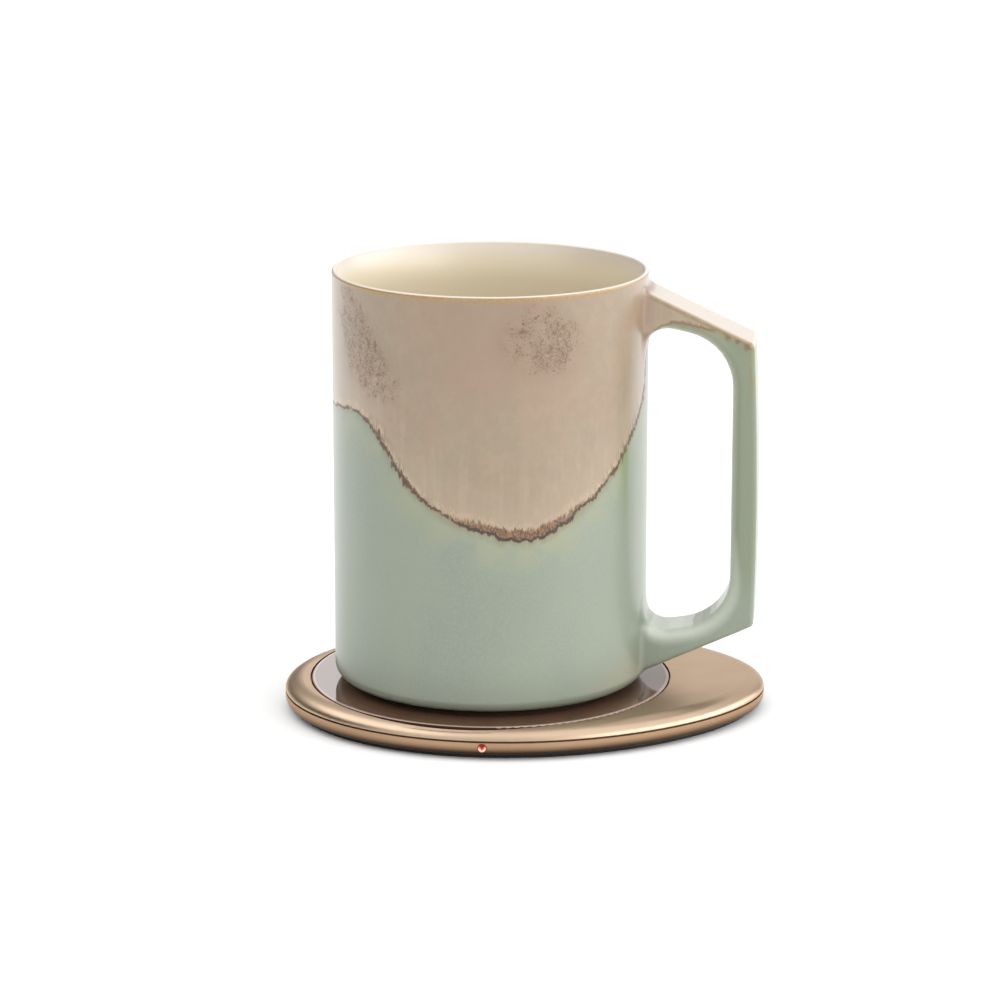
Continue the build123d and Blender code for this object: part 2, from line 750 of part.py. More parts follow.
# Screws that hold the two shells together, from below
with BuildPart() as housing_screws:
    with BuildSketch(Plane.XY.offset(head_seat)):
        with Locations(*housing_screw_points()):
            Circle(screw_radius)
    extrude(amount=housing_screw_length)
    with BuildSketch(Plane.XY.offset(head_seat - housing_head_height)):
        with Locations(*housing_screw_points()):
            Circle(housing_head_radius)
    extrude(amount=housing_head_height)
    with BuildSketch(Plane.XY.offset(head_seat - housing_head_height)):
        with Locations(*housing_screw_points()):
            RegularPolygon(drive_radius, side_count=6)
    extrude(amount=drive_depth, mode=Mode.SUBTRACT)

# Silicone sheet that the pad stands on
with BuildPart() as base_pad:
    with BuildSketch():
        make_face(egg(base_pad_inset))
    extrude(amount=base_pad_thickness)

pieces = {
    "mug_body": mug_body,
    "mug_handle": mug_handle,
    "heating_film": heating_film,
    "mica_disc": mica_disc,
    "base_cover": base_cover,
    "upper_shell": upper_shell,
    "glass_adhesive_ring": glass_adhesive_ring,
    "glass_plate": glass_plate,
    "lower_shell": lower_shell,
    "parting_gasket": parting_gasket,
    "led_light_pipe": led_light_pipe,
    "status_led": status_led,
    "insulating_sheet": insulating_sheet,
    "coil_carrier": coil_carrier,
    "ferrite_disc": ferrite_disc,
    "coil_winding": coil_winding,
    "coil_leads": coil_leads,
    "coil_spacer": coil_spacer,
    "thermistor_post": thermistor_post,
    "thermistor": thermistor,
    "main_board": main_board,
    "controller_chip": controller_chip,
    "supply_chip": supply_chip,
    "power_inductor": power_inductor,
    "driver_mosfets": driver_mosfets,
    "resonant_capacitors": resonant_capacitors,
    "chip_passives": chip_passives,
    "usb_c_receptacle": usb_c_receptacle,
    "usb_c_insulator": usb_c_insulator,
    "board_screws": board_screws,
    "housing_screws": housing_screws,
    "base_pad": base_pad,
}
os.makedirs("parts", exist_ok=True)
for name, piece in pieces.items():
    piece.part.label = name
    export_step(piece.part, f"parts/{name}.step")
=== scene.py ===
import bpy
import math
import numpy as np
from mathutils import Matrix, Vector


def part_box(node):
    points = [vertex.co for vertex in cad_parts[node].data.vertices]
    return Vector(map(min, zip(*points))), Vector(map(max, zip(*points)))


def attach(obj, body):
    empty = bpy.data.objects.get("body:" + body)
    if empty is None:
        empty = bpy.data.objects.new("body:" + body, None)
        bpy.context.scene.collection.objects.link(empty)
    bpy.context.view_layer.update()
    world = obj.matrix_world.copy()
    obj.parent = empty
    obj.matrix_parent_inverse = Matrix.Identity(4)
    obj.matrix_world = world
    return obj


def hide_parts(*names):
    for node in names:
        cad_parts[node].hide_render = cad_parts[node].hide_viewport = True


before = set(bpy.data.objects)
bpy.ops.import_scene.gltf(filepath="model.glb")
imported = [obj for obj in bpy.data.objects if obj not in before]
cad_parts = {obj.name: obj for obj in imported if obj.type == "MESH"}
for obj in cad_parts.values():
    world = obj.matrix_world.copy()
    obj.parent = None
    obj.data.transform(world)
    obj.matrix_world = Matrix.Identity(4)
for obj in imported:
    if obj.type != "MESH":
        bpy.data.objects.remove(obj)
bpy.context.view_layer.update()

# Scene units are metres and sizes below are in millimetres
MM = 0.001

# Sizes that come from the frame, in millimetres
mug_low, mug_high = (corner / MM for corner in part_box("mug_body"))
MUG_RADIUS = mug_high.x
RIM = mug_high.z
GLASS_RADIUS = (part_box("glass_plate")[1] / MM).x
CERAMIC_BOTTOM = mug_low.z

# Sizes of the mug's wall and handle
WALL = 3.0
FLOOR = 6.0
BASE_ROUND = 3.0
INNER_ROUND = 8.0
LIP = 1.3
LIP_THINNING = 10.0
LIP_CURVE = (LIP_THINNING**2 + (WALL - LIP) ** 2) / (2 * (WALL - LIP))
RECESS_RADIUS = 33.0
RECESS_DEPTH = 1.6
RECESS_ROUND = 0.4
MUG_TURN = math.radians(-8.0)
HANDLE_REACH = MUG_RADIUS + 27.1
FOOT_OVERHANG = 0.8
GRIP_BOW = 0.75
HANDLE_HALF_WIDTH = 8.1
HANDLE_SLOPE = 0.4685
HANDLE_ROOT_TOP = RIM - 3.75
HANDLE_ROOT_FOOT = CERAMIC_BOTTOM + 2.85
HANDLE_CORNER_ROUND = 1.6
HANDLE_EDGE_ROUND = 1.2
GRIP = 5.35
ARM_ROOT = 8.15
FOOT_ARM_ROOT = 9.7
ARM_END = 3.1
LOOP_END_ROUND = 14.0
LOOP_ROOT_ROUND = 6.3
LOOP_EDGE_ROUND = 2.8
JOIN_BLEND = 1.8

# Angle, in degrees, to each side of the handle within which the mug's mesh is finer
HANDLE_SECTOR = 15

# The photograph's camera: its place and what it looks at in millimetres, and its lens and sensor
CAMERA_PLACE = (-26.26, -914.03, 280.9)
CAMERA_AIM = (2.464, -0.077, 54.45)
CAMERA_LENS = 132.6
CAMERA_SENSOR = 36.0


def colour(red, green, blue):
    """A colour given as on a screen, 0 to 255, in the linear values that shaders take."""
    linear = []
    for value in (red, green, blue):
        share = value / 255
        linear.append(share / 12.92 if share < 0.04045 else ((share + 0.055) / 1.055) ** 2.4)
    return (*linear, 1.0)


class Graph:
    """The nodes of a material or of the world, with short calls that add and join them."""

    def __init__(self, owner, shader="Principled BSDF", **settings):
        owner.use_nodes = True
        self.owner = owner
        self.tree = owner.node_tree
        self.shader = self.tree.nodes[shader]
        self.set(**settings)

    def set(self, **settings):
        """Sets the shader's sockets: underscores stand for the spaces in their names."""
        for name, value in settings.items():
            self.join(value, self.shader.inputs[name.replace("_", " ")])

    def join(self, value, socket):
        if isinstance(value, bpy.types.NodeSocket):
            self.tree.links.new(value, socket)
        else:
            socket.default_value = value

    def add(self, kind, inputs, **settings):
        node = self.tree.nodes.new("ShaderNode" + kind)
        for name, value in settings.items():
            setattr(node, name, value)
        for name, value in inputs.items():
            self.join(value, node.inputs[name])
        return node

    def place(self):
        """The place on the piece, in millimetres."""
        coordinates = self.add("TexCoord", {})
        return self.stretch(coordinates.outputs["Object"], (1 / MM, 1 / MM, 1 / MM))

    def stretch(self, vector, factors):
        node = self.add("VectorMath", {0: vector, 1: factors}, operation="MULTIPLY")
        return node.outputs["Vector"]

    def parts(self, vector):
        node = self.add("SeparateXYZ", {"Vector": vector})
        return node.outputs["X"], node.outputs["Y"], node.outputs["Z"]

    def join_parts(self, x, y, z):
        return self.add("CombineXYZ", {"X": x, "Y": y, "Z": z}).outputs["Vector"]

    def math(self, operation, first, second=0.0):
        node = self.add("Math", {0: first, 1: second}, operation=operation)
        return node.outputs["Value"]

    def length(self, *parts):
        """The length of a vector with these parts."""
        return self.math("SQRT", self.sum(*[self.product(part, part) for part in parts]))

    def along(self, parts, direction):
        """How far a vector with these parts reaches along a direction."""
        return self.sum(*[self.product(part, share) for part, share in zip(parts, direction)])

    def sum(self, *values):
        total = values[0]
        for value in values[1:]:
            total = self.math("ADD", total, value)
        return total

    def product(self, *values):
        total = values[0]
        for value in values[1:]:
            total = self.math("MULTIPLY", total, value)
        return total

    def rise(self, value, start, end):
        """0 below start and 1 above end, with a soft step between; start may be the larger one."""
        node = self.add(
            "MapRange",
            {"Value": value, "From Min": start, "From Max": end},
            interpolation_type="SMOOTHSTEP",
        )
        return node.outputs["Result"]

    def spread(self, value, low, high, to_low, to_high):
        """Moves a value from one range to another, in a straight line and held at the ends."""
        node = self.add(
            "MapRange",
            {"Value": value, "From Min": low, "From Max": high, "To Min": to_low, "To Max": to_high},
        )
        return node.outputs["Result"]

    def noise(self, vector, size, detail=2.0, roughness=0.5, distortion=0.0):
        """Smooth noise from 0 to 1 whose lumps are about this many millimetres apart."""
        node = self.add(
            "TexNoise",
            {
                "Vector": vector,
                "Scale": 1 / size,
                "Detail": detail,
                "Roughness": roughness,
                "Distortion": distortion,
            },
        )
        return node.outputs["Fac"]

    def cells(self, vector, size, feature="F1"):
        node = self.add("TexVoronoi", {"Vector": vector, "Scale": 1 / size}, feature=feature)
        return node.outputs["Distance"]

    def blend(self, factor, first, second):
        node = self.add("Mix", {}, data_type="RGBA")
        self.join(factor, node.inputs["Factor"])
        self.join(first, node.inputs[6])
        self.join(second, node.inputs[7])
        return node.outputs[2]

    def bump(self, height, distance, strength=1.0, normal=None):
        node = self.add("Bump", {"Height": height, "Distance": distance * MM, "Strength": strength})
        if normal is not None:
            self.join(normal, node.inputs["Normal"])
        return node.outputs["Normal"]

    def curve(self, value, points):
        """A smooth curve through given points, each with both numbers from 0 to 1."""
        node = self.add("FloatCurve", {"Value": value})
        line = node.mapping.curves[0]
        line.points[0].location = points[0]
        line.points[-1].location = points[-1]
        for x, y in points[1:-1]:
            line.points.new(x, y)
        node.mapping.update()
        return node.outputs["Value"]


# Where the thick upper glaze ends: angles round the mug in degrees, heights in millimetres
GLAZE_EDGE = [
    (-180, 81.0), (-160, 82.4), (-149, 82.8), (-137, 78.6), (-127, 70.3), (-118, 64.4), (-105, 58.8),
    (-93, 55.7), (-80, 53.8), (-69, 55.6), (-59, 59.7), (-48, 64.7), (-38, 70.4), (-29, 76.6),
    (-17, 85.5), (-9, 99.0), (5, 97.0), (20, 84.0), (45, 68.0), (72, 60.0), (98, 57.0), (122, 62.5),
    (142, 73.0), (160, 79.5), (180, 81.0),
]
GLAZE_EDGE_TOP = 120.0

# Angles, in degrees: the step over which the edge's slope is taken, where the edge hangs lowest, between
# which distances from there its band thickens, and the side that faces the camera
SLOPE_STEP = 1.5
LOWEST_AT = -80.0
LOWEST_REACH = (34.0, 8.0)
FRONT_AT = -90.0

# A green run under the edge: its angle and half width in degrees, and the heights it fades in between
GREEN_RUN_AT = -35.0
GREEN_RUN_HALF_WIDTH = 4.0
GREEN_RUN_HEIGHTS = (44.0, 66.0)

# Heights between which a painted shade makes the lower glaze darker and yellower towards the foot
FOOT_SHADE_HEIGHTS = (24.0, 11.0)

# The same edge on the flat sides of the handle: distances from the mug's axis, and heights
HANDLE_GLAZE_EDGE = [
    (36, 99.0), (40, 99.5), (43, 101.4), (46, 102.6), (50, 102.8), (55, 101.8), (59, 100.6), (63, 98.7),
    (66, 97.0), (72, 94.0),
]
HANDLE_EDGE_SPAN = 80.0

# Patches of dark speckle: angle, height, half width in degrees, half height, strength
SPECKLE_PATCHES = [
    (-154, 108, 12, 8, 0.9), (-146, 99, 13, 10, 1.0), (-136, 93, 11, 8, 0.75), (-126, 82, 7, 12, 0.35),
    (-75, 104, 15, 10, 0.85), (-64, 101, 11, 8, 0.5), (40, 99, 18, 10, 0.9), (118, 103, 22, 8, 0.8),
    (95, 84, 10, 9, 0.5),
]

# Brown spots on the flat sides of the handle, near its corner: distance from the axis, height, radius
HANDLE_SPOTS = [(60.3, 99.7, 0.8), (62.9, 98.6, 0.65), (65.3, 97.3, 0.95)]

# Name under which the mug's mesh keeps each vertex's distance from the handle's loop, in millimetres
LOOP_DISTANCE = "loop_distance"

HALF_TURN_DEGREES = 180.0
FULL_TURN_DEGREES = 360.0


class Glaze(Graph):
    """Two glazes on one mug: a warm beige one over a matte green one, cream inside."""

    def __init__(self):
        super().__init__(bpy.data.materials.new("glaze"))
        self.measure_places()
        self.measure_edge()
        upper = self.upper_glaze()
        lower = self.lower_glaze()
        glazes = self.edge_bands(lower, upper)
        glazes = self.handle_marks(glazes)
        glazes = self.rim_and_inside(glazes)
        self.finish(glazes)

    def measure_places(self):
        """Where each spot is: round the mug, out along the handle, across it, and inside the cup."""
        self.here = self.place()
        x, y, self.z = self.parts(self.here)
        self.radius = self.length(x, y)
        self.angle = self.math("DEGREES", self.math("ARCTAN2", y, x))
        self.out = self.sum(self.product(x, math.cos(MUG_TURN)), self.product(y, math.sin(MUG_TURN)))
        across = self.sum(self.product(x, -math.sin(MUG_TURN)), self.product(y, math.cos(MUG_TURN)))
        self.across = self.math("ABSOLUTE", across)
        self.side_edge = self.rise(self.across, HANDLE_HALF_WIDTH - 0.9, HANDLE_HALF_WIDTH - 0.3)
        self.on_handle = self.rise(self.radius, MUG_RADIUS + 0.6, MUG_RADIUS + 2.4)
        self.on_body = self.math("SUBTRACT", 1.0, self.on_handle)
        inside = self.rise(self.radius, MUG_RADIUS - 0.9, MUG_RADIUS - 1.7)
        self.inside = self.product(inside, self.rise(self.z, CERAMIC_BOTTOM + 3, CERAMIC_BOTTOM + 4))

    def measure_edge(self):
        """Height over the edge of the upper glaze, measured square to that edge, in three raggednesses."""
        points = [
            ((degrees + HALF_TURN_DEGREES) / FULL_TURN_DEGREES, height / GLAZE_EDGE_TOP)
            for degrees, height in GLAZE_EDGE
        ]
        share = self.spread(self.angle, -HALF_TURN_DEGREES, HALF_TURN_DEGREES, 0.0, 1.0)
        edge = self.product(self.curve(share, points), GLAZE_EDGE_TOP)
        step = SLOPE_STEP / FULL_TURN_DEGREES
        next_edge = self.product(self.curve(self.math("ADD", share, step), points), GLAZE_EDGE_TOP)
        run = 2 * math.pi * MUG_RADIUS * step
        slope = self.product(self.math("SUBTRACT", next_edge, edge), 1 / run)
        level = self.math("POWER", self.sum(self.product(slope, slope), 1.0), -0.5)
        points = [(out / HANDLE_EDGE_SPAN, height / GLAZE_EDGE_TOP) for out, height in HANDLE_GLAZE_EDGE]
        points = [(0.0, points[0][1]), *points, (1.0, points[-1][1])]
        share = self.product(self.out, 1 / HANDLE_EDGE_SPAN)
        handle_edge = self.product(self.curve(share, points), GLAZE_EDGE_TOP)
        edge = self.sum(self.product(edge, self.on_body), self.product(handle_edge, self.on_handle))
        level = self.math("MAXIMUM", level, self.product(self.on_handle, 0.8))

        scallops = self.product(self.math("SUBTRACT", self.noise(self.here, 4.2, 2.0), 0.5), 2.4)
        from_lowest = self.math("ABSOLUTE", self.math("SUBTRACT", self.angle, LOWEST_AT))
        self.lowest = self.product(self.rise(from_lowest, *LOWEST_REACH), self.on_body)
        self.steep = self.rise(level, 0.95, 0.7)
        lobes = self.math("SUBTRACT", 0.5, self.cells(self.stretch(self.here, (1.0, 1.0, 0.5)), 1.8))
        lobes = self.product(lobes, self.lowest, 1.3)
        ragged = self.noise(self.stretch(self.here, (1.0, 1.0, 0.55)), 0.6, 3.0, 0.65)
        self.ragged = self.product(self.math("SUBTRACT", ragged, 0.5), 1.3)
        drips = self.stretch(self.here, (1.0, 1.0, 0.22))
        self.drops = self.noise(drips, 0.75, 1.0, 0.5)
        ticks = self.product(self.math("SUBTRACT", self.drops, 0.5), self.steep, self.on_body, 3.2)
        over_edge = self.sum(self.z, self.product(self.math("ADD", edge, scallops), -1.0), lobes)
        self.above = self.product(over_edge, level)
        self.above_line = self.sum(self.above, self.ragged, ticks)
        self.teeth = self.math("SUBTRACT", self.noise(drips, 0.5, 2.0, 0.55), 0.5)
        teeth_length = self.sum(self.product(self.on_body, 2.6), 0.8)
        self.above_teeth = self.math("SUBTRACT", self.above, self.product(self.teeth, teeth_length))

    def upper_glaze(self):
        """Pinkish beige with soft clouds, faint streaks where it has run, a painted shade high on the side
        facing the camera, and patches of speckle.
        """
        self.streaks = self.noise(self.stretch(self.here, (1.0, 1.0, 0.1)), 2.4, 3.0, 0.6)
        self.clouds = self.noise(self.stretch(self.here, (1.0, 1.0, 0.8)), 15.0, 3.0, 0.5)
        mottle = self.noise(self.here, 3.0, 4.0, 0.6)
        fine = self.noise(self.stretch(self.here, (1.0, 1.0, 0.6)), 0.7, 3.0, 0.65)
        blush = self.noise(self.stretch(self.here, (1.0, 1.0, 0.7)), 7.0, 3.0, 0.55)
        upper = self.blend(self.rise(self.clouds, 0.36, 0.64), colour(147, 124, 101), colour(142, 126, 102))
        upper = self.blend(self.product(self.rise(mottle, 0.4, 0.7), 0.35), upper, colour(157, 139, 114))
        upper = self.blend(self.product(self.rise(blush, 0.48, 0.66), 0.3), upper, colour(160, 130, 108))
        run_down = self.product(self.rise(self.streaks, 0.48, 0.68), self.rise(self.above, 26.0, 4.0), 0.3)
        upper = self.blend(run_down, upper, colour(170, 153, 131))
        upper = self.blend(self.product(self.rise(fine, 0.4, 0.75), 0.16), upper, colour(122, 103, 84))
        upper = self.blend(self.product(self.rise(self.above, 14.0, 2.0), 0.4), upper, colour(164, 147, 123))
        # Painted shade: the upper glaze is painted darker and pinker high up on the side that faces the
        # camera
        from_front = self.math("ABSOLUTE", self.math("SUBTRACT", self.angle, FRONT_AT))
        shade = self.product(self.rise(from_front, 38.0, 12.0), self.rise(self.z, 82.0, 98.0), 0.4)
        upper = self.blend(shade, upper, colour(138, 112, 92))
        return self.speckled(upper, mottle)

    def speckled(self, upper, mottle):
        """Dark dots and a brown smudge in each of the patches."""
        dots = self.noise(self.stretch(self.here, (1.0, 1.0, 0.8)), 1.0, 2.0, 0.6)
        small_dots = self.noise(self.here, 0.36, 1.0, 0.5)
        patches = 0.0
        for at, height, half_angle, half_height, strength in SPECKLE_PATCHES:
            far_round = self.product(self.math("SUBTRACT", self.angle, float(at)), 1 / half_angle)
            far_up = self.product(self.math("SUBTRACT", self.z, float(height)), 1 / half_height)
            distance = self.sum(self.product(far_round, far_round), self.product(far_up, far_up))
            patches = self.sum(self.product(self.rise(distance, 1.6, 0.0), strength), patches)
        patches = self.math("MINIMUM", self.product(patches, self.spread(mottle, 0.3, 0.7, 0.6, 1.3)), 1.0)
        threshold = self.spread(patches, 0.0, 1.0, 0.8, 0.53)
        dark = self.rise(self.math("SUBTRACT", dots, threshold), -0.02, 0.1)
        dark_small = self.rise(self.math("SUBTRACT", small_dots, threshold), -0.04, 0.08)
        smudge = self.product(patches, self.rise(self.noise(self.here, 3.0, 3.0, 0.6), 0.3, 0.65), 0.6)
        upper = self.blend(smudge, upper, colour(124, 98, 70))
        specks = self.math("MAXIMUM", self.product(dark, 0.55), self.product(dark_small, 0.45))
        self.speckle = self.product(specks, self.rise(patches, 0.02, 0.3))
        return self.blend(self.speckle, upper, colour(84, 50, 20))

    def lower_glaze(self):
        """Matte grey green, olive just under the edge, a darker and yellower painted shade at the foot, and
        one green run.
        """
        self.grain = self.noise(self.here, 0.6, 3.0, 0.7)
        tone = self.noise(self.stretch(self.here, (1.0, 1.0, 0.5)), 22.0, 3.0)
        lower = self.blend(self.rise(tone, 0.35, 0.65), colour(121, 133, 118), colour(128, 138, 121))
        lower = self.blend(self.product(self.rise(self.grain, 0.4, 0.7), 0.45), lower, colour(140, 145, 127))
        halo = self.rise(self.noise(self.here, 7.0, 2.0), 0.3, 0.65)
        halo = self.product(self.rise(self.above, -12.0, -1.0), halo, 0.5)
        lower = self.blend(halo, lower, colour(150, 149, 114))
        under_line = self.rise(self.noise(self.here, 3.0, 2.0), 0.2, 0.55)
        under_line = self.product(self.rise(self.above, -2.2, -0.1), under_line, 0.75)
        lower = self.blend(under_line, lower, colour(124, 112, 76))
        far_round = self.product(self.math("SUBTRACT", self.angle, GREEN_RUN_AT), 1 / GREEN_RUN_HALF_WIDTH)
        green_run = self.product(
            self.rise(self.product(far_round, far_round), 1.2, 0.1),
            self.rise(self.z, *GREEN_RUN_HEIGHTS),
            self.rise(self.radius, MUG_RADIUS + 1.5, MUG_RADIUS + 0.6),
            self.rise(self.streaks, 0.3, 0.6),
            0.75,
        )
        lower = self.blend(green_run, lower, colour(114, 128, 88))
        # Painted shade: the lower glaze is painted darker and yellower low down, towards the foot
        foot = self.product(self.rise(self.z, *FOOT_SHADE_HEIGHTS), self.on_body, 0.35)
        lower = self.blend(foot, lower, colour(108, 112, 94))
        high_up = self.rise(self.z, 28.0, 44.0)
        lower = self.blend(self.product(self.on_handle, high_up, 0.5), lower, colour(136, 142, 112))
        outermost = self.rise(self.out, HANDLE_REACH - 10.1, HANDLE_REACH - 4.1)
        return self.blend(self.product(outermost, high_up, 0.5), lower, colour(106, 117, 90))

    def edge_bands(self, lower, upper):
        """The upper glaze over the lower one, with its edge: dark line, granular band, pale teeth."""
        self.over = self.rise(self.above_line, -0.12, 0.12)
        glazes = self.blend(self.over, lower, upper)
        band_width = self.sum(self.product(self.lowest, 2.3), 0.2)
        fringe_top = self.sum(band_width, self.product(self.on_body, 1.2), 0.5)
        lines_up = self.noise(self.stretch(self.here, (1.0, 1.0, 0.3)), 0.42, 2.0, 0.6)
        teeth_light = self.spread(self.rise(lines_up, 0.56, 0.42), 0.0, 1.0, 0.15, 0.5)
        teeth_light = self.product(teeth_light, self.spread(self.lowest, 0.0, 1.0, 1.2, 0.7))
        fringe = self.rise(self.math("SUBTRACT", self.above_teeth, fringe_top), 0.9, -1.3)
        glazes = self.blend(self.product(fringe, self.over, teeth_light), glazes, colour(190, 167, 134))
        dashes = self.product(self.rise(self.drops, 0.52, 0.62), self.rise(self.above, 3.6, 0.6), self.over)
        dashes = self.product(dashes, self.steep, self.on_body, 0.7)
        glazes = self.blend(dashes, glazes, colour(98, 78, 66))
        self.granules = self.noise(self.stretch(self.here, (1.0, 1.0, 0.6)), 0.4, 2.0, 0.7)
        self.band = self.rise(self.math("SUBTRACT", self.above_teeth, band_width), 0.6, -0.4)
        self.band = self.product(self.band, self.over)
        ochre = self.blend(self.rise(self.granules, 0.36, 0.62), colour(66, 44, 30), colour(134, 97, 66))
        band_strength = self.spread(self.lowest, 0.0, 1.0, 0.55, 0.95)
        glazes = self.blend(self.product(self.band, band_strength), glazes, ochre)
        broken = self.spread(self.rise(self.noise(self.here, 1.5, 2.0), 0.3, 0.5), 0.0, 1.0, 0.35, 1.0)
        thick = self.math("MAXIMUM", self.steep, self.product(self.lowest, 0.4))
        thick = self.product(thick, self.on_body, 0.27)
        from_line = self.math("ABSOLUTE", self.math("SUBTRACT", self.above_line, 0.1))
        line = self.rise(self.math("SUBTRACT", from_line, thick), 0.52, 0.14)
        handle_end = self.rise(self.out, HANDLE_REACH - 8.6, HANDLE_REACH - 11.6)
        handle_end = self.math("MAXIMUM", self.on_body, handle_end)
        line = self.product(line, self.math("MAXIMUM", broken, self.lowest), handle_end)
        self.line = self.product(line, self.spread(self.on_handle, 0.0, 1.0, 0.9, 0.6))
        brown = self.blend(self.rise(self.lowest, 0.1, 0.6), colour(70, 43, 20), colour(48, 30, 22))
        brown = self.blend(self.on_handle, brown, colour(118, 84, 58))
        return self.blend(self.line, glazes, brown)

    def handle_marks(self, glazes):
        """Painted light in cream on the handle's top face, olive on thin edges, a pale painted highlight
        round the loop, spots at the corner.
        """
        top_line = HANDLE_ROOT_TOP + HANDLE_SLOPE * MUG_RADIUS
        top_line = self.sum(self.product(self.out, -HANDLE_SLOPE), top_line)
        under_top = self.math("SUBTRACT", top_line, self.z)
        on_top = self.rise(self.across, HANDLE_HALF_WIDTH - 0.2, HANDLE_HALF_WIDTH - 0.9)
        # Painted light: the handle's top face is painted cream, as if lit from above
        painted_top_light = self.product(self.rise(under_top, 1.1, 0.4), self.on_handle, on_top)
        glazes = self.blend(self.product(painted_top_light, 0.85), glazes, colour(216, 203, 187))
        top_edge = self.product(self.rise(under_top, 1.7, 1.2), self.rise(under_top, 0.5, 0.8))
        top_edge = self.product(top_edge, self.side_edge, self.on_handle)
        outer_edge = self.rise(self.out, HANDLE_REACH - 1.5, HANDLE_REACH - 0.9)
        outer_edge = self.product(outer_edge, self.rise(self.z, 82.0, 90.0), self.side_edge)
        worn = self.rise(self.noise(self.here, 2.2), 0.25, 0.6)
        thin = self.product(self.math("MAXIMUM", top_edge, outer_edge), worn, 0.75)
        glazes = self.blend(thin, glazes, colour(130, 112, 70))
        # Painted highlight: a pale band round the handle's loop, wider low down on the lower arm
        loop_distance = self.add("Attribute", {}, attribute_name=LOOP_DISTANCE).outputs["Fac"]
        highlight_width = self.spread(self.z, 30.0, 50.0, 3.4, 1.5)
        pale = self.rise(self.math("DIVIDE", loop_distance, highlight_width), 1.3, 0.0)
        pale = self.product(pale, self.on_handle, self.rise(self.above_line, 0.5, -0.5), 0.8)
        glazes = self.blend(pale, glazes, colour(208, 213, 200))
        spots = 0.0
        for spot_out, spot_height, spot_radius in HANDLE_SPOTS:
            far_out = self.math("SUBTRACT", self.out, spot_out)
            far_up = self.math("SUBTRACT", self.z, spot_height)
            distance = self.math("ADD", self.length(far_out, far_up), self.product(self.ragged, 1.2))
            spots = self.math("MAXIMUM", spots, self.rise(distance, spot_radius * 1.3, spot_radius * 0.4))
        glazes = self.blend(self.product(spots, self.side_edge, 0.7), glazes, colour(108, 78, 46))
        junction = self.product(
            self.rise(self.radius, MUG_RADIUS + 0.1, MUG_RADIUS + 0.4),
            self.rise(self.radius, MUG_RADIUS + 1.5, MUG_RADIUS + 0.8),
            self.rise(self.z, 92.0, 96.0),
            0.5,
        )
        return self.blend(junction, glazes, colour(144, 112, 94))

    def rim_and_inside(self, glazes):
        """An ochre line outside the rim, under a pale lip, and cream glaze inside the cup."""
        under_rim = self.math("SUBTRACT", RIM, self.z)
        outside = self.rise(self.radius, MUG_RADIUS - 0.6, MUG_RADIUS - 0.35)
        line_foot = self.math("ADD", under_rim, self.product(self.teeth, 1.1))
        line_foot = self.rise(self.math("SUBTRACT", line_foot, 1.15), 0.35, -0.2)
        rim_line = self.product(self.rise(under_rim, 0.14, 0.3), line_foot, outside, 0.9)
        ochre = self.blend(self.rise(self.granules, 0.25, 0.75), colour(142, 110, 60), colour(168, 136, 80))
        glazes = self.blend(rim_line, glazes, ochre)
        cream = self.blend(self.rise(self.clouds, 0.3, 0.7), colour(218, 207, 194), colour(214, 203, 188))
        cream = self.blend(self.rise(under_rim, 0.4, 5.5), cream, colour(219, 207, 180))
        lip = self.math("MAXIMUM", self.rise(under_rim, 0.35, 0.18), self.math("SUBTRACT", 1.0, outside))
        lip = self.product(lip, self.rise(under_rim, 3.0, 2.0))
        self.lip = self.math("MAXIMUM", self.inside, lip)
        return self.blend(self.lip, glazes, cream)

    def finish(self, base):
        """Satin gloss, duller on the lower glaze and on the brown marks, over a slightly uneven surface."""
        ripples = self.noise(self.stretch(self.here, (1.0, 1.0, 0.35)), 5.0, 2.0)
        normal = self.bump(ripples, 0.12, 0.3)
        normal = self.bump(self.grain, 0.08, 0.5, normal)
        edge_height = self.math("MAXIMUM", self.rise(self.above_line, -0.4, 0.5), self.lip)
        normal = self.bump(edge_height, 0.15, 0.5, normal)
        normal = self.bump(self.product(self.granules, self.band), 0.1, 0.5, normal)
        covered = self.math("MAXIMUM", self.over, self.lip)
        matt = self.math("MAXIMUM", self.math("MAXIMUM", self.line, self.band), self.speckle)
        self.set(
            Base_Color=base,
            Roughness=self.spread(covered, 0.0, 1.0, 0.5, 0.38),
            Specular_IOR_Level=0.5,
            Coat_Weight=self.spread(matt, 0.0, 1.0, 1.0, 0.3),
            Coat_Roughness=0.28,
            Normal=normal,
        )


# Heights between which a painted shade makes the pad's tray darker and browner towards its foot, in
# millimetres
PAD_SHADE = (1.6, 4.2)


def anodised(name, base, dark, shade=None):
    """Bead-blasted anodised aluminium: satin, with a fine grain and faint cloudiness.

    Between the two heights of the shade, a painted shade makes it darker and browner towards the lower one."""
    g = Graph(bpy.data.materials.new(name), Metallic=1.0)
    place = g.place()
    grain = g.noise(place, 0.22, 2.0, 0.6)
    clouds = g.noise(place, 14.0, 3.0)
    tint = g.blend(g.product(g.rise(clouds, 0.3, 0.7), 0.35), base, dark)
    tint = g.blend(g.product(grain, 0.12), tint, dark)
    if shade:
        # Painted shade: near black towards the lower of the two heights
        height = g.parts(place)[2]
        tint = g.blend(g.product(g.rise(height, shade[1], shade[0]), 0.95), tint, colour(30, 20, 12))
    g.set(
        Base_Color=tint,
        Roughness=g.spread(clouds, 0.3, 0.7, 0.3, 0.36),
        Specular_Tint=(1.0, 0.9, 0.82, 1.0),
        Normal=g.bump(grain, 0.01, 0.25),
    )
    return g.owner


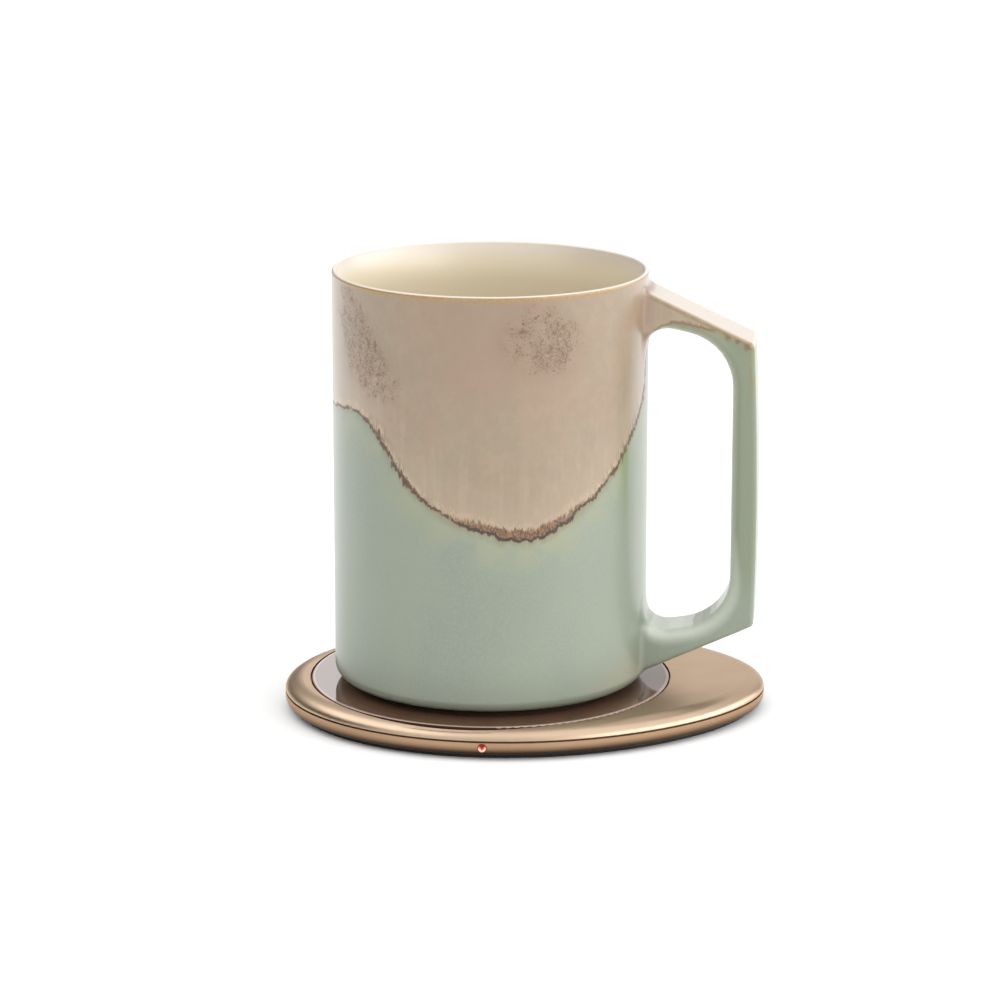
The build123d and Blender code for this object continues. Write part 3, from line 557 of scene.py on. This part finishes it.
def painted_glass():
    """Clear glass painted brown behind: glossy, with faint wipe marks, a painted highlight just inside the
    edge and a painted shade at the edge.
    """
    g = Graph(bpy.data.materials.new("painted_glass"))
    place = g.place()
    marks = g.noise(g.stretch(place, (1.0, 0.3, 1.0)), 9.0, 4.0, 0.6)
    paint = g.blend(g.rise(marks, 0.3, 0.7), colour(90, 66, 51), colour(99, 74, 57))
    x, y, _ = g.parts(place)
    radius = g.length(x, y)
    # Painted highlight: a pale line just inside the edge, standing in for light caught on the glass's
    # rounded edge
    painted_edge_highlight = g.product(g.rise(radius, GLASS_RADIUS - 0.95, GLASS_RADIUS - 0.75), 0.6)
    paint = g.blend(painted_edge_highlight, paint, colour(205, 172, 160))
    # Painted shade: a dark ring at the very edge stands in for the shadowed gap round the glass, with no
    # gloss on it
    edge = g.rise(radius, GLASS_RADIUS - 0.2, GLASS_RADIUS - 0.1)
    paint = g.blend(edge, paint, colour(60, 42, 32))
    g.set(
        Base_Color=paint,
        Roughness=g.spread(marks, 0.3, 0.7, 0.05, 0.09),
        IOR=2.1,
        Specular_IOR_Level=g.spread(edge, 0.0, 1.0, 0.5, 0.0),
        Specular_Tint=(1.0, 0.9, 0.86, 1.0),
    )
    return g.owner


def moulded(name, base, second, roughness=0.5, grain_size=0.5, depth=0.02):
    """Moulded plastic, rubber or card: a fine grain and a slow change of tone."""
    g = Graph(bpy.data.materials.new(name))
    place = g.place()
    grain = g.noise(place, grain_size, 3.0, 0.6)
    tone = g.noise(place, 20 * grain_size, 2.0)
    mixed = g.blend(g.rise(tone, 0.3, 0.7), base, second)
    mixed = g.blend(g.product(grain, 0.15), mixed, second)
    g.set(
        Base_Color=mixed,
        Roughness=g.spread(grain, 0.3, 0.7, roughness - 0.05, roughness + 0.05),
        Normal=g.bump(grain, depth, 0.5),
    )
    return g.owner


def brushed(name, base, second, roughness):
    """Rolled or brushed metal, with fine lines along one direction."""
    g = Graph(bpy.data.materials.new(name), Metallic=1.0)
    place = g.place()
    streaks = g.noise(g.stretch(place, (1.0, 0.08, 1.0)), 0.3, 3.0, 0.65)
    g.set(
        Base_Color=g.blend(g.rise(streaks, 0.3, 0.7), base, second),
        Roughness=g.spread(streaks, 0.3, 0.7, roughness - 0.06, roughness + 0.08),
        Normal=g.bump(streaks, 0.01, 0.3),
    )
    return g.owner


def stranded_copper():
    """Enamelled litz wire: many fine strands that twist along the wire."""
    g = Graph(bpy.data.materials.new("stranded_copper"), Metallic=1.0)
    place = g.place()
    x, y, z = g.parts(place)
    angle = g.math("ARCTAN2", y, x)
    radius = g.length(x, y)
    lay = g.join_parts(g.product(angle, 6.0), g.product(radius, 9.0), g.product(z, 9.0))
    strands = g.noise(lay, 1.0, 2.0, 0.5, 0.6)
    g.set(
        Base_Color=g.blend(g.rise(strands, 0.35, 0.65), colour(150, 78, 42), colour(214, 132, 84)),
        Roughness=0.34,
        Normal=g.bump(strands, 0.06, 0.8),
    )
    return g.owner


def circuit_board():
    """Green solder mask over copper tracks, with the weave of the board under it."""
    g = Graph(bpy.data.materials.new("circuit_board"), Roughness=0.32, Coat_Weight=0.3)
    place = g.place()
    tracks = g.cells(g.stretch(place, (1.0, 1.0, 0.01)), 3.4, "DISTANCE_TO_EDGE")
    weave = g.noise(place, 0.35, 2.0)
    mask = g.blend(g.rise(weave, 0.3, 0.7), colour(18, 74, 44), colour(24, 84, 52))
    mask = g.blend(g.rise(tracks, 0.09, 0.07), mask, colour(44, 116, 66))
    g.set(Base_Color=mask, Normal=g.bump(g.rise(tracks, 0.1, 0.06), 0.03, 0.4))
    return g.owner


def lit_window():
    """Frosted window lit from behind: deep red at the top, orange in the middle, palest low down."""
    g = Graph(bpy.data.materials.new("lit_window"), Roughness=0.25, Specular_IOR_Level=0.25)
    place = g.place()
    x, _, z = g.parts(place)
    lens_low, lens_high = (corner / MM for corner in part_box("led_light_pipe"))
    middle = (lens_low + lens_high) / 2
    lens_radius = (lens_high.x - lens_low.x) / 2
    far_x = g.product(g.math("SUBTRACT", x, middle.x), 1 / lens_radius)
    far_z = g.product(g.math("SUBTRACT", z, middle.z), 1 / lens_radius)
    far = g.length(far_x, far_z)
    notch = g.math("SUBTRACT", far_z, g.product(g.math("ABSOLUTE", far_x), 1.1))
    frost = g.product(g.math("SUBTRACT", g.noise(place, 0.35, 2.0), 0.5), 0.5)
    notch = g.math("ADD", notch, frost)
    glow = g.blend(g.rise(notch, -0.75, -0.35), colour(255, 232, 214), colour(250, 118, 50))
    glow = g.blend(g.rise(notch, -0.35, -0.05), glow, colour(120, 8, 2))
    glow = g.blend(g.rise(far, 0.62, 0.82), glow, colour(110, 20, 14))
    body = g.blend(g.rise(far, 0.5, 0.9), colour(70, 24, 18), colour(40, 14, 12))
    g.set(Base_Color=body, Emission_Color=glow, Emission_Strength=1.0)
    return g.owner


def dress(node, material):
    """Gives a carried-over CAD node its material."""
    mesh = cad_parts[node].data
    mesh.materials.clear()
    mesh.materials.append(material)


def outline_with_arcs(corners, radii, steps=8):
    """The points of a closed outline whose corners are rounded with these radii."""
    points = []
    count = len(corners)
    for i, (corner, radius) in enumerate(zip(corners, radii)):
        corner = np.array(corner)
        if not radius:
            points.append(corner)
            continue
        before = np.array(corners[i - 1]) - corner
        after = np.array(corners[(i + 1) % count]) - corner
        before /= np.hypot(*before)
        after /= np.hypot(*after)
        half = math.acos(np.clip(before @ after, -1, 1)) / 2
        middle = before + after
        middle /= np.hypot(*middle)
        centre = corner + middle * radius / math.sin(half)
        start = corner + before * radius / math.tan(half) - centre
        end = corner + after * radius / math.tan(half) - centre
        turn = math.atan2(start[0] * end[1] - start[1] * end[0], start @ end)
        for step in range(steps + 1):
            angle = turn * step / steps
            swing = np.array([
                start[0] * math.cos(angle) - start[1] * math.sin(angle),
                start[0] * math.sin(angle) + start[1] * math.cos(angle),
            ])
            points.append(centre + swing)
    return np.array(points)


def outline_distance(points, u, w):
    """Signed distance from each place to a closed outline, below zero inside it."""
    nearest = np.full(u.shape, np.inf)
    inside = np.zeros(u.shape, bool)
    for (au, aw), (bu, bw) in zip(points, np.roll(points, -1, axis=0)):
        du, dw = bu - au, bw - aw
        share = np.clip(((u - au) * du + (w - aw) * dw) / (du * du + dw * dw), 0, 1)
        nearest = np.minimum(nearest, (u - au - share * du) ** 2 + (w - aw - share * dw) ** 2)
        if dw:
            crosses = (aw > w) != (bw > w)
            inside ^= crosses & (u < au + (w - aw) * du / dw)
    return np.sqrt(nearest) * np.where(inside, -1, 1)


def rounded_corner(a, b, radius):
    """Signed distance to the corner where a and b are both below zero, rounded."""
    a = a + radius
    b = b + radius
    return np.hypot(np.maximum(a, 0), np.maximum(b, 0)) + np.minimum(np.maximum(a, b), 0) - radius


def handle_outlines():
    """The handle's outer outline and its loop, as distance from the axis and height."""
    slope_run = HANDLE_REACH - MUG_RADIUS
    end_top = HANDLE_ROOT_TOP - HANDLE_SLOPE * slope_run
    end_foot = HANDLE_ROOT_FOOT + HANDLE_SLOPE * slope_run
    root = MUG_RADIUS - WALL
    shares = np.linspace(0, 1, 13)
    bow = [
        (
            HANDLE_REACH + FOOT_OVERHANG * (1 - a) + 4 * GRIP_BOW * a * (1 - a),
            end_foot + a * (end_top - end_foot),
        )
        for a in shares
    ]
    outer = outline_with_arcs(
        [
            (root, HANDLE_ROOT_FOOT - HANDLE_SLOPE * WALL),
            *bow,
            (root, HANDLE_ROOT_TOP + HANDLE_SLOPE * WALL),
        ],
        [0, HANDLE_CORNER_ROUND, *[0] * (len(bow) - 2), HANDLE_CORNER_ROUND, 0],
    )
    side_root = math.sqrt(MUG_RADIUS**2 - HANDLE_HALF_WIDTH**2)
    loop_top = end_top + HANDLE_SLOPE * GRIP - ARM_END
    loop_foot = end_foot - HANDLE_SLOPE * GRIP + ARM_END
    loop = outline_with_arcs(
        [
            (side_root, HANDLE_ROOT_FOOT + FOOT_ARM_ROOT),
            (HANDLE_REACH - GRIP, loop_foot),
            (HANDLE_REACH - GRIP, loop_top),
            (side_root, HANDLE_ROOT_TOP - ARM_ROOT),
        ],
        [LOOP_ROOT_ROUND, LOOP_END_ROUND, LOOP_END_ROUND, LOOP_ROOT_ROUND],
    )
    return outer, loop


HANDLE_OUTER, HANDLE_LOOP = handle_outlines()


def mug_distance(places):
    """Signed distance, in millimetres, from each place to the surface of body and handle."""
    x, y, z = places.T
    radius = np.hypot(x, y)
    outer = rounded_corner(radius - MUG_RADIUS, CERAMIC_BOTTOM - z, BASE_ROUND)
    rise = np.clip(z - RIM + LIP_THINNING, 0, None)
    thinning = LIP_CURVE - np.sqrt(LIP_CURVE**2 - np.minimum(rise, LIP_CURVE / 2) ** 2)
    cavity = rounded_corner(radius - MUG_RADIUS + WALL - thinning, CERAMIC_BOTTOM + FLOOR - z, INNER_ROUND)
    recess = rounded_corner(radius - RECESS_RADIUS, z - CERAMIC_BOTTOM - RECESS_DEPTH, RECESS_ROUND)
    body = np.maximum(np.maximum(outer, -cavity), -recess)
    lip = np.hypot(radius - MUG_RADIUS + LIP / 2, z - RIM + LIP / 2) - LIP / 2
    body = np.where(z > RIM - LIP / 2, lip, body)
    out = x * math.cos(MUG_TURN) + y * math.sin(MUG_TURN)
    across = np.abs(-x * math.sin(MUG_TURN) + y * math.cos(MUG_TURN))
    near = (out > MUG_RADIUS / 2) & (across < 3 * HANDLE_HALF_WIDTH)
    total = body
    if near.any():
        side = across[near] - HANDLE_HALF_WIDTH
        bar = outline_distance(HANDLE_OUTER, out[near], z[near])
        loop = -outline_distance(HANDLE_LOOP, out[near], z[near])
        handle = np.maximum(
            rounded_corner(bar, side, HANDLE_EDGE_ROUND), rounded_corner(loop, side, LOOP_EDGE_ROUND)
        )
        # The handle's root ends within the wall, also where the wall thins to the lip
        handle = np.where(radius[near] < MUG_RADIUS - LIP / 2, WALL, handle)
        low_end = HANDLE_ROOT_FOOT + FOOT_ARM_ROOT + LOOP_ROOT_ROUND
        high_end = HANDLE_ROOT_TOP - ARM_ROOT - LOOP_ROOT_ROUND
        clear = np.minimum(z[near] - low_end, high_end - z[near])
        reach = np.clip(radius[near] - MUG_RADIUS + 1, 0, 1) * np.clip(1 - clear / LOOP_ROOT_ROUND, 0, 1)
        blend = np.maximum(JOIN_BLEND * reach, 0.01)
        overlap = np.maximum(blend - np.abs(body[near] - handle), 0) / blend
        total = body.copy()
        total[near] = np.minimum(body[near], handle) - overlap**2 * blend / 4
    return total


def stops(*runs):
    """Grid places: from each start on, at about its step, up to the next start; the last is the end."""
    places = []
    for (start, step), (end, _) in zip(runs, runs[1:]):
        places.extend(np.linspace(start, end, max(1, round((end - start) / step)), endpoint=False))
    return np.array([*places, runs[-1][0]])


def turned_net(angles, radii, heights, distance):
    """Quads round the zero level of a distance, on a grid that turns about Z and closes on itself.

    Each grid cell that the surface crosses holds one vertex. The angles are in degrees, without the last
    one, which is the first again."""
    grid = np.stack(np.meshgrid(np.radians(angles), radii, heights, indexing="ij"), axis=-1).reshape(-1, 3)
    turned = np.stack([grid[:, 1] * np.cos(grid[:, 0]), grid[:, 1] * np.sin(grid[:, 0]), grid[:, 2]], axis=1)
    inside = distance(turned).reshape(len(angles), len(radii), len(heights)) < 0
    inside = np.concatenate([inside, inside[:2]])
    across, deep, high = inside.shape
    count = sum(
        inside[i:across - 1 + i, j:deep - 1 + j, k:high - 1 + k].astype(np.int8)
        for i in (0, 1) for j in (0, 1) for k in (0, 1)
    )
    crossed = (count > 0) & (count < 8)
    index = np.full(crossed.shape, -1)
    cells = np.argwhere(crossed[:-1])
    index[tuple(cells.T)] = np.arange(len(cells))
    index[-1] = index[0]
    closed = np.append(angles, angles[0] + FULL_TURN_DEGREES)
    middles = [(axis[1:] + axis[:-1]) / 2 for axis in (np.radians(closed), radii, heights)]
    angle, radius, height = (middles[n][cells[:, n]] for n in range(3))
    places = np.stack([radius * np.cos(angle), radius * np.sin(angle), height], axis=1)
    faces = []
    for n in range(3):
        order = (n, *[m for m in range(3) if m != n])
        first = np.moveaxis(inside, order, (0, 1, 2))
        cell = np.moveaxis(index, order, (0, 1, 2))
        change = first[:-1, 1:-1, 1:-1] != first[1:, 1:-1, 1:-1]
        quads = np.stack([cell[:, :-1, :-1], cell[:, 1:, :-1], cell[:, 1:, 1:], cell[:, :-1, 1:]], axis=-1)
        if n == 0:
            change, quads = change[:-1], quads[:-1]
        faces.append(quads[change])
    caps = [index[:-1, 0, k] for k in range(index.shape[2]) if (index[:-1, 0, k] >= 0).all()]
    return places, np.concatenate(faces), caps


def settle(places, faces, distance, rounds):
    """Evens out a mesh and keeps its vertices on the zero level of a distance."""
    step = 0.02
    edges = np.concatenate([faces[:, [0, 1]], faces[:, [1, 2]], faces[:, [2, 3]], faces[:, [3, 0]]])
    neighbours = np.bincount(edges.ravel(), minlength=len(places))[:, None]
    for turn in range(rounds):
        if 0 < turn < rounds - 1:
            total = np.zeros_like(places)
            for n in range(3):
                total[:, n] = np.bincount(edges[:, 0], places[edges[:, 1], n], len(places))
                total[:, n] += np.bincount(edges[:, 1], places[edges[:, 0], n], len(places))
            places = places + 0.5 * (total / neighbours - places)
        offsets = np.eye(3) * step
        normals = np.stack(
            [distance(places + offset) - distance(places - offset) for offset in offsets], axis=1
        ) / (2 * step)
        normals /= np.maximum(np.linalg.norm(normals, axis=1), 0.2)[:, None]
        places = places - normals * np.clip(distance(places), -1.0, 1.0)[:, None]
    return places, normals


def face_outwards(places, normals, faces):
    """Turns each face so that it looks the way its vertices' normals do."""
    corners = places[faces]
    across = np.cross(corners[:, 2] - corners[:, 0], corners[:, 3] - corners[:, 1])
    away = (across * normals[faces].sum(axis=1)).sum(axis=1) < 0
    return np.where(away[:, None], faces[:, ::-1], faces)


def add_mesh(name, places, faces, material, body, normals=None):
    """A mesh piece from places in millimetres, which rides on a body."""
    mesh = bpy.data.meshes.new(name)
    mesh.from_pydata((np.asarray(places) * MM).tolist(), [], [list(map(int, face)) for face in faces])
    mesh.shade_smooth()
    if normals is not None:
        mesh.normals_split_custom_set_from_vertices(normals.tolist())
    mesh.materials.append(material)
    piece = bpy.data.objects.new(name, mesh)
    bpy.context.scene.collection.objects.link(piece)
    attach(piece, body)
    return piece


def make_mug():
    """Body and handle as one glazed surface, with the clay drawn together where they join."""
    before_handle = math.degrees(MUG_TURN) - HANDLE_SECTOR
    after_handle = math.degrees(MUG_TURN) + HANDLE_SECTOR
    angles = stops((before_handle, 0.55), (after_handle, 1.5), (before_handle + FULL_TURN_DEGREES, 0))[:-1]
    radii = stops(
        (0, 2.5), (RECESS_RADIUS - 1, 0.35), (RECESS_RADIUS + 1, 0.7), (MUG_RADIUS - WALL - 0.6, 0.33),
        (MUG_RADIUS + 0.9, 0.6), (HANDLE_REACH + 2.5, 0),
    )
    heights = stops(
        (CERAMIC_BOTTOM - 0.8, 0.4), (CERAMIC_BOTTOM + 3, 0.75), (RIM - 2.5, 0.28), (RIM + 0.6, 0),
    )
    places, faces, caps = turned_net(angles, radii, heights, mug_distance)
    places, normals = settle(places, faces, mug_distance, 6)
    faces = face_outwards(places, normals, faces).tolist()
    for cap in caps:
        upright = normals[cap[0]][2] > 0
        faces.append(cap.tolist() if upright else cap[::-1].tolist())
    mug = add_mesh("mug", places, faces, Glaze().owner, "mug", normals)
    x, y, z = places.T
    out = x * math.cos(MUG_TURN) + y * math.sin(MUG_TURN)
    from_loop = mug.data.attributes.new(LOOP_DISTANCE, "FLOAT", "POINT")
    from_loop.data.foreach_set("value", outline_distance(HANDLE_LOOP, out, z).astype(np.float32))
    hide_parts("mug_body", "mug_handle")


make_mug()

metal = anodised("champagne_metal", colour(198, 174, 150), colour(184, 159, 135))
# Painted shade: the tray's metal is a darker, browner copy of the champagne metal, and darker still towards
# its foot
shaded_tray_metal = anodised("shaded_tray_metal", colour(180, 147, 118), colour(163, 131, 103), PAD_SHADE)
steel = brushed("screw_steel", colour(150, 150, 152), colour(120, 120, 124), 0.3)
resin = moulded("chip_resin", colour(30, 30, 32), colour(40, 40, 43), 0.55, 0.2)
black_rubber = moulded("gasket_rubber", colour(84, 64, 46), colour(96, 74, 54), 0.6)
silicone = moulded("silicone", colour(24, 22, 21), colour(31, 29, 27), 0.6)
dress("upper_shell", metal)
dress("lower_shell", shaded_tray_metal)
dress("glass_plate", painted_glass())
dress("parting_gasket", black_rubber)
dress("led_light_pipe", lit_window())
dress("status_led", moulded("lamp_resin", colour(236, 228, 208), colour(222, 212, 188), 0.4, 0.2))
dress("base_cover", silicone)
dress("base_pad", moulded("sheet_silicone", colour(18, 15, 13), colour(26, 21, 18), 0.7))
dress("glass_adhesive_ring", moulded("adhesive_tape", colour(30, 30, 30), colour(44, 44, 44), 0.6, 0.8))
dress("insulating_sheet", moulded("insulating_film", colour(196, 120, 40), colour(210, 136, 54), 0.3, 1.5))
dress("coil_carrier", moulded("carrier_plastic", colour(46, 46, 48), colour(58, 58, 60), 0.5))
dress("ferrite_disc", moulded("ferrite", colour(54, 52, 50), colour(66, 63, 60), 0.45, 0.3, 0.03))
copper = stranded_copper()
dress("coil_winding", copper)
dress("coil_leads", copper)
dress("coil_spacer", moulded("foam_spacer", colour(206, 200, 188), colour(190, 184, 170), 0.85, 0.7, 0.1))
dress("thermistor_post", moulded("post_silicone", colour(170, 60, 50), colour(150, 52, 44), 0.5))
dress("thermistor", moulded("thermistor_body", colour(60, 120, 70), colour(72, 134, 80), 0.35, 0.2))
dress("main_board", circuit_board())
dress("controller_chip", resin)
dress("supply_chip", resin)
dress("driver_mosfets", resin)
dress("power_inductor", moulded("inductor_core", colour(74, 74, 76), colour(88, 88, 90), 0.6, 0.3, 0.04))
dress("resonant_capacitors", moulded("capacitor_case", colour(150, 110, 70), colour(166, 124, 82), 0.4, 0.4))
dress("chip_passives", moulded("passive_body", colour(176, 158, 128), colour(156, 138, 110), 0.4, 0.2))
dress("usb_c_receptacle", brushed("inlet_steel", colour(178, 178, 180), colour(150, 150, 153), 0.28))
dress("usb_c_insulator", moulded("inlet_plastic", colour(24, 24, 26), colour(34, 34, 36), 0.5, 0.3))
dress("board_screws", steel)
dress("housing_screws", steel)
dress("heating_film", brushed("heating_film", colour(176, 172, 166), colour(150, 146, 140), 0.35))
dress("mica_disc", moulded("mica", colour(196, 178, 146), colour(176, 156, 122), 0.3, 2.0, 0.02))


def make_floor():
    """Plain pale floor."""
    size = 6.0
    mesh = bpy.data.meshes.new("floor")
    corners = [(-size, -size, 0), (size, -size, 0), (size, size, 0), (-size, size, 0)]
    mesh.from_pydata(corners, [], [(0, 1, 2, 3)])
    floor = bpy.data.objects.new("floor", mesh)
    bpy.context.scene.collection.objects.link(floor)
    g = Graph(bpy.data.materials.new("floor_paint"), Roughness=0.9, Specular_IOR_Level=0.1)
    coordinates = g.add("TexCoord", {}).outputs["Object"]
    tone = g.add("TexNoise", {"Vector": coordinates, "Scale": 3.0}).outputs["Fac"]
    g.set(Base_Color=g.blend(tone, (0.955, 0.955, 0.955, 1), (0.975, 0.975, 0.975, 1)))
    mesh.materials.append(g.owner)


# The room's two large lights, as seen from the table, and its strength where there is none
LIGHT_ON_THE_RIGHT = (0.97, -0.22, 0.1)
LIGHT_OVERHEAD = (0.22, -0.2, 0.92)
DARKEST = 0.05


def make_room():
    """Soft light by direction: strongest low on the right, then high on the left, overhead, in front of
    the table and behind it. Behind, it is darker low on both sides and bright in a narrow strip."""
    world = bpy.data.worlds.new("studio")
    bpy.context.scene.world = world
    g = Graph(world, "Background")
    towards = g.add("TexCoord", {}).outputs["Generated"]
    x, y, z = g.parts(towards)
    low_left = g.product(g.rise(x, -0.03, -0.14), g.rise(z, 0.55, 0.35), -0.8)
    low_right = g.product(g.rise(x, 0.35, 0.7), g.rise(z, 0.5, 0.3), -0.6)
    behind = g.product(g.rise(y, 0.0, 0.6), g.sum(low_left, low_right, 1.0), 0.9)
    low = g.product(g.rise(z, 0.12, 0.18), g.rise(z, 0.4, 0.34))
    strip = g.product(g.rise(y, 0.88, 0.95), g.rise(x, 0.1, 0.0), g.rise(x, -0.1, -0.04), low, 1.75)
    towards_right = g.along((x, y, z), LIGHT_ON_THE_RIGHT)
    right = g.product(g.rise(towards_right, 0.42, 0.88), g.rise(z, 0.6, 0.32), 3.55)
    high_left = g.product(g.rise(x, -0.15, -0.5), g.rise(z, 0.46, 0.66), 2.2)
    upwards = g.along((x, y, z), LIGHT_OVERHEAD)
    overhead = g.product(g.rise(upwards, 0.55, 0.8), 1.5)
    ahead = g.product(g.rise(x, 0.6, 0.35), g.rise(x, -0.98, -0.8), g.rise(y, -0.2, -0.5))
    front = g.product(ahead, g.rise(z, 0.0, 0.14), 1.1)
    light = DARKEST
    for part in (behind, strip, right, high_left, overhead, front):
        light = g.math("MAXIMUM", part, light)
    g.set(Color=(1.0, 1.0, 1.0, 1.0), Strength=light)


def make_camera():
    """The photograph's view: a long lens, 14 degrees above the table."""
    data = bpy.data.cameras.new("camera")
    data.sensor_width = CAMERA_SENSOR
    data.lens = CAMERA_LENS
    camera = bpy.data.objects.new("camera", data)
    place = Vector(CAMERA_PLACE) * MM
    aim = Vector(CAMERA_AIM) * MM
    camera.location = place
    camera.rotation_mode = "QUATERNION"
    camera.rotation_quaternion = (aim - place).to_track_quat("-Z", "Y")
    bpy.context.scene.collection.objects.link(camera)
    bpy.context.scene.camera = camera


make_floor()
make_room()
make_camera()
bpy.context.scene.view_settings.view_transform = "Standard"
